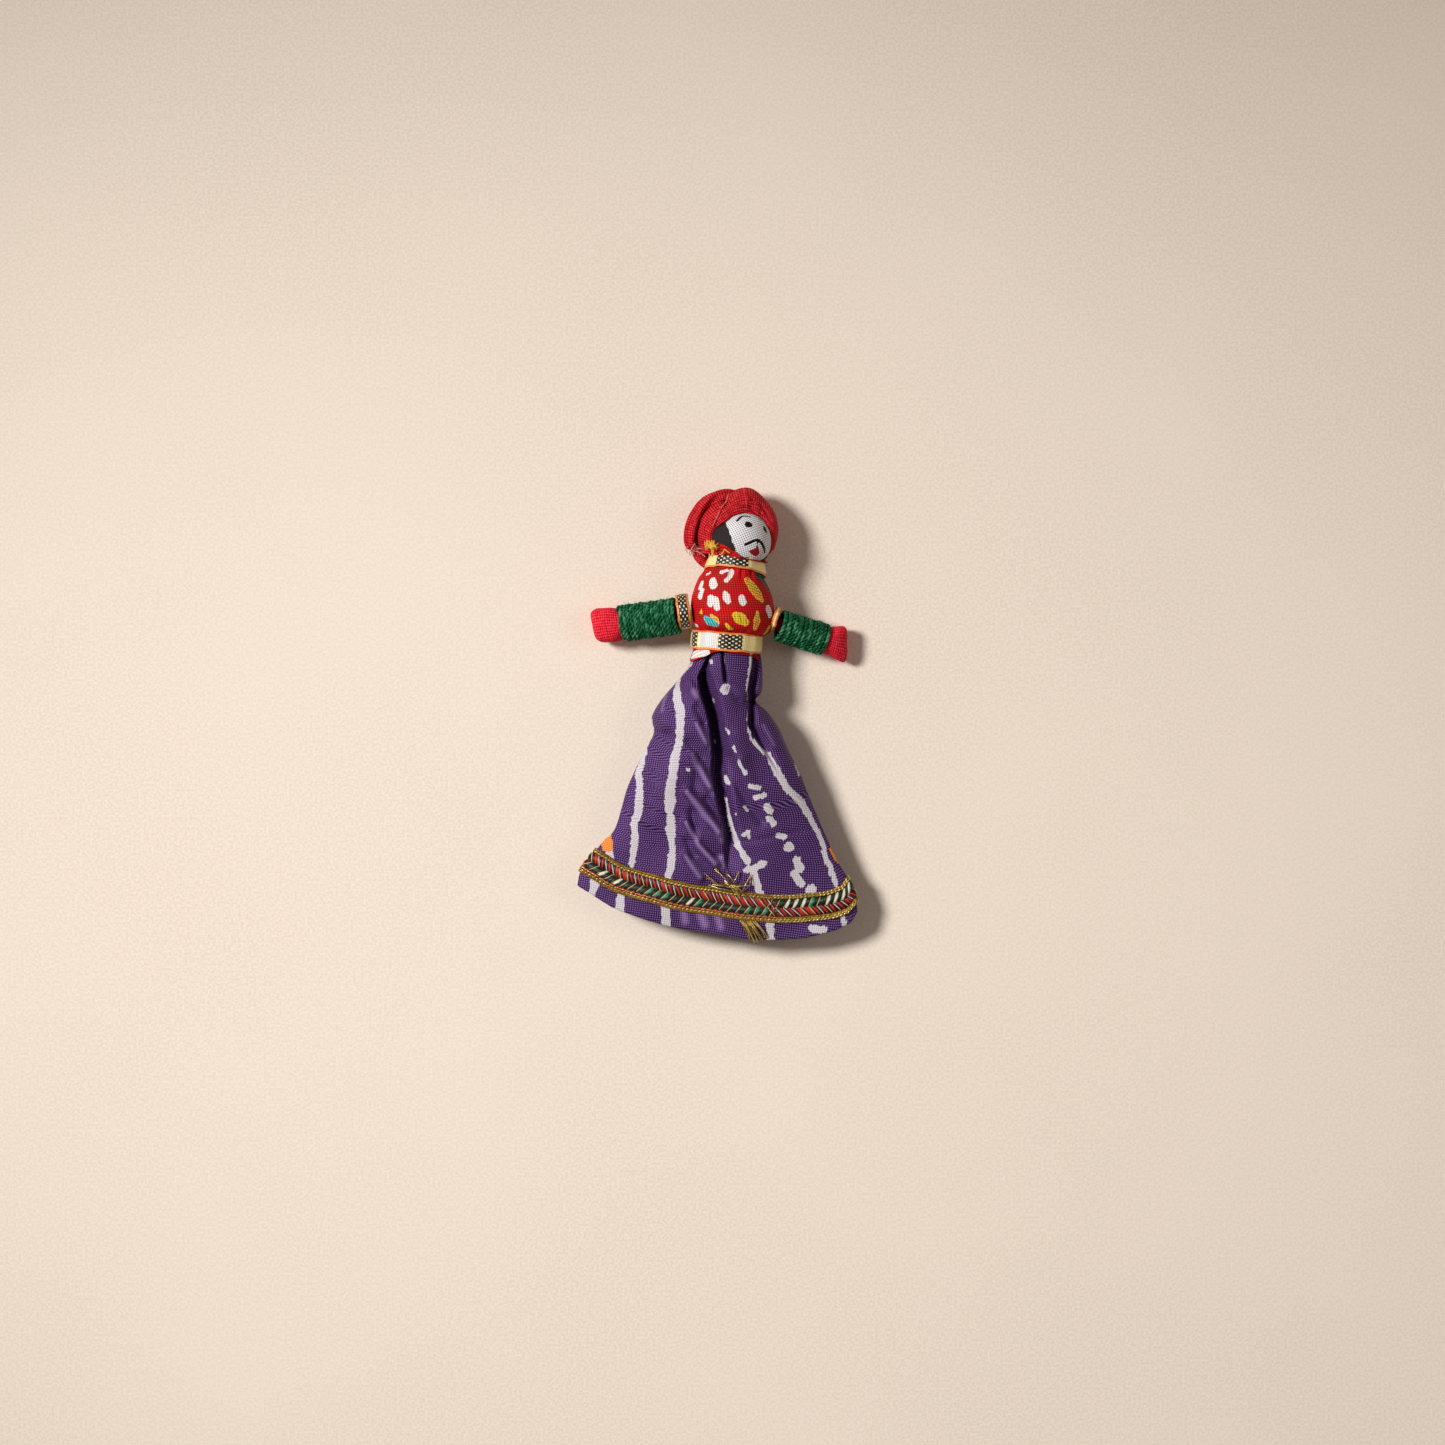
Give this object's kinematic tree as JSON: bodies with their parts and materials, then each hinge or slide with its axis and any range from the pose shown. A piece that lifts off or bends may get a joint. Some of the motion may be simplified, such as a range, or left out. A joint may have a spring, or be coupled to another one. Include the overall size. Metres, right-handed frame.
{
  "type": "string puppet doll",
  "caption": "Small cloth marionette doll in a wrapped turban, printed bodice, yarn-wound sleeves and a long gathered skirt with a laced hem, lying on its back.",
  "frame": {"origin": "centre of the bounding box on the surface that the doll lies on", "axes": "+X to the viewer's right, +Y from hem to head, +Z out of the doll's front"},
  "size_m": [0.0782, 0.1282, 0.0207],
  "materials": {
    "stuffing": "matt cotton waste and rolled cloth, inside only",
    "white_cotton": "plain open weave, matt, face and hair painted on",
    "red_crepe": "crinkled crepe, matt",
    "red_floral_cotton": "printed plain weave, matt",
    "purple_cotton": "printed plain weave, matt, slight sheen on folds",
    "green_yarn": "two-ply wool winding, fuzzy",
    "gold_ribbon": "woven metallic tape with coloured edges, satin",
    "gold_lace": "twisted metallic braid with red and green stitching",
    "loose_thread": "frayed metallic and cotton threads"
  },
  "bodies": {
    "torso": {"torso_stuffing": "stuffing", "bodice": "red_floral_cotton", "neck_ribbon": "gold_ribbon"},
    "neck": {"neck_stem": "stuffing"},
    "head": {"head_stuffing": "stuffing", "head_cloth": "white_cotton", "turban_crown": "red_crepe", "turban_roll": "red_crepe", "turban_tail": "red_crepe"},
    "left_shoulder": {"left_shoulder_stub": "red_crepe", "left_shoulder_ribbon": "gold_ribbon"},
    "left_arm": {"left_arm_stuffing": "stuffing", "left_arm_cloth": "red_crepe", "left_sleeve_yarn": "green_yarn"},
    "right_shoulder": {"right_shoulder_stub": "red_crepe", "right_shoulder_ribbon": "gold_ribbon"},
    "right_arm": {"right_arm_stuffing": "stuffing", "right_arm_cloth": "red_crepe", "right_sleeve_yarn": "green_yarn"},
    "waist": {"skirt_gathers": "purple_cotton", "waist_ribbon": "gold_ribbon"},
    "skirt": {"skirt": "purple_cotton", "hem_lace": "gold_lace", "lace_end_upper": "loose_thread", "lace_end_lower": "loose_thread"}
  },
  "joints": [
    {"name": "neck_nod", "type": "hinge", "parent": "torso", "child": "neck", "pos_m": [0.00402, 0.03641, 0.0105], "axis": [0.9917, -0.1288, 0], "range_deg": [-4, 18], "deforming": ["neck_ribbon"]},
    {"name": "head_turn", "type": "hinge", "parent": "neck", "child": "head", "pos_m": [0.00607, 0.04914, 0.012], "axis": [0.1582, 0.9806, 0.1156], "range_deg": [-45, 15]},
    {"name": "left_shoulder_raise", "type": "hinge", "parent": "torso", "child": "left_shoulder", "pos_m": [-0.01093, 0.02834, 0.01], "axis": [0, 0, -1], "range_deg": [-40, 40], "deforming": ["left_shoulder_ribbon"]},
    {"name": "left_arm_swing", "type": "hinge", "parent": "left_shoulder", "child": "left_arm", "pos_m": [-0.01093, 0.02834, 0.01], "axis": [-0.1353, 0.9908, 0], "range_deg": [-3, 60]},
    {"name": "right_shoulder_raise", "type": "hinge", "parent": "torso", "child": "right_shoulder", "pos_m": [0.01787, 0.02524, 0.0098], "axis": [0, 0, 1], "range_deg": [-40, 40], "deforming": ["right_shoulder_ribbon"]},
    {"name": "right_arm_swing", "type": "hinge", "parent": "right_shoulder", "child": "right_arm", "pos_m": [0.01787, 0.02524, 0.0098], "axis": [-0.2971, -0.9549, 0], "range_deg": [-3, 60]},
    {"name": "waist_bend", "type": "hinge", "parent": "torso", "child": "waist", "pos_m": [0.00202, 0.02104, 0.0105], "axis": [0, 0, 1], "range_deg": [-12, 12]},
    {"name": "skirt_swing", "type": "hinge", "parent": "waist", "child": "skirt", "pos_m": [0.00112, 0.0141, 0.0105], "axis": [-0.9917, 0.1288, 0], "range_deg": [-2, 40]}
  ]
}
